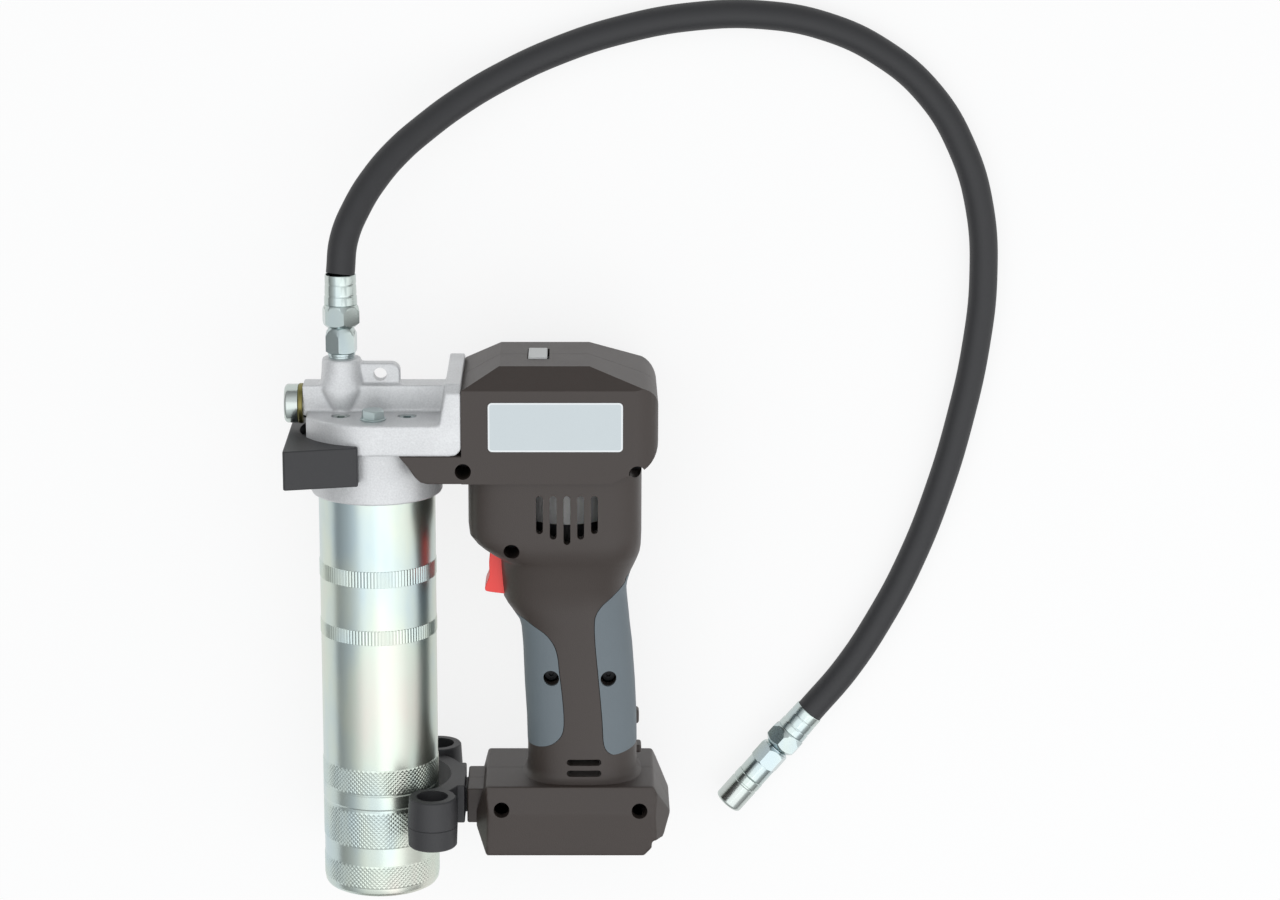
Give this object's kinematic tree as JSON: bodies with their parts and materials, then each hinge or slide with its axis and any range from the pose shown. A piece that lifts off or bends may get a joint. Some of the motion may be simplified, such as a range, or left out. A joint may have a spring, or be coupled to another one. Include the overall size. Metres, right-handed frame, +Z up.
{
  "type": "cordless grease gun",
  "caption": "Battery grease gun lying on its side: metal grease barrel, cast pump head, pistol-grip motor housing and a flexible hose with a grease nipple coupler",
  "frame": {"origin": "middle of the base of the tool's box, without the hose, on the surface that it lies on", "axes": "+X from the barrel to the handle, +Y up the barrel to the outlet, +Z up, across the tool's thickness"},
  "size_m": [0.3498, 0.4362, 0.1047],
  "materials": {
    "cast_aluminium": "satin casting",
    "zinc_steel": "bright zinc plating",
    "barrel_steel": "bright zinc plating, mirror-like",
    "yellow_zinc": "yellow passivated",
    "bumper_rubber": "matte",
    "grease_pack": "moulded",
    "housing_plastic": "fine spark texture",
    "grip_rubber": "soft matte",
    "holder_plastic": "moulded matte",
    "dark_screws": "black oxide",
    "label_film": "satin film",
    "key_plastic": "moulded",
    "trigger_plastic": "moulded",
    "black_plastic": "moulded",
    "steel": "machined",
    "bronze": "turned",
    "contact_brass": "bare",
    "hose_rubber": "cloth-marked rubber"
  },
  "bodies": {
    "tool": {"pump_head": "cast_aluminium", "barrel_collar": "cast_aluminium", "collar_screws": "zinc_steel", "vent_screw": "zinc_steel", "pump_plug": "zinc_steel", "outlet_adapter": "zinc_steel", "motor_can": "zinc_steel", "hose_nut": "zinc_steel", "hose_ferrule": "zinc_steel", "end_ferrule": "zinc_steel", "end_nut": "zinc_steel", "coupler_body": "zinc_steel", "coupler_sleeve": "zinc_steel", "plug_washer": "yellow_zinc", "bumper": "bumper_rubber", "grease_cartridge": "grease_pack", "housing_near": "housing_plastic", "housing_far": "housing_plastic", "front_grip_near": "grip_rubber", "back_grip_near": "grip_rubber", "front_grip_far": "grip_rubber", "back_grip_far": "grip_rubber", "nozzle_holder": "holder_plastic", "housing_screws": "dark_screws", "label_plate": "label_film", "key_switch": "black_plastic", "trigger_switch": "black_plastic", "motor_end_cap": "black_plastic", "terminal_block": "black_plastic", "check_spring": "steel", "trigger_spring": "steel", "gearbox_case": "steel", "coupler_jaws": "steel", "crank_bush": "bronze", "plunger_bush": "bronze", "contact_blades": "contact_brass", "hose": "hose_rubber"},
    "barrel": {"barrel": "barrel_steel"},
    "trigger": {"trigger": "trigger_plastic"},
    "mode_key": {"mode_key": "key_plastic"},
    "crank": {"crank_gear": "steel", "crank_pin": "steel"},
    "pinion": {"drive_pinion": "steel"},
    "plunger": {"plunger": "steel", "plunger_yoke": "steel"},
    "check_ball": {"check_ball": "steel"}
  },
  "joints": [
    {"name": "barrel_turn", "type": "hinge", "parent": "tool", "child": "barrel", "pos_m": [-0.05, -0.0419, 0.05235], "axis": [0, -1, 0], "continuous": true},
    {"name": "trigger_pull", "type": "slide", "parent": "tool", "child": "trigger", "axis": [1, 0, 0], "range_m": [0, 0.006], "stiffness_N_per_m": 500, "springref_m": -0.006, "deforming": ["trigger_spring"]},
    {"name": "key_press", "type": "slide", "parent": "tool", "child": "mode_key", "axis": [0, -1, 0], "range_m": [0, 0.0015], "stiffness_N_per_m": 800, "springref_m": -0.002},
    {"name": "crank_spin", "type": "hinge", "parent": "tool", "child": "crank", "pos_m": [0.019, 0.0911, 0.05235], "axis": [0, 1, 0], "continuous": true},
    {"name": "pinion_spin", "type": "hinge", "parent": "tool", "child": "pinion", "pos_m": [0.043, 0.0911, 0.05235], "axis": [0, 1, 0], "continuous": true},
    {"name": "plunger_stroke", "type": "slide", "parent": "tool", "child": "plunger", "axis": [1, 0, 0], "range_m": [-0.004, 0.004]},
    {"name": "check_lift", "type": "slide", "parent": "tool", "child": "check_ball", "axis": [0, 1, 0], "range_m": [0, 0.0015], "stiffness_N_per_m": 300, "springref_m": -0.003, "deforming": ["check_spring"]}
  ],
  "couplings": [
    {"joint": "pinion_spin", "follows": "crank_spin", "ratio": -3}
  ]
}
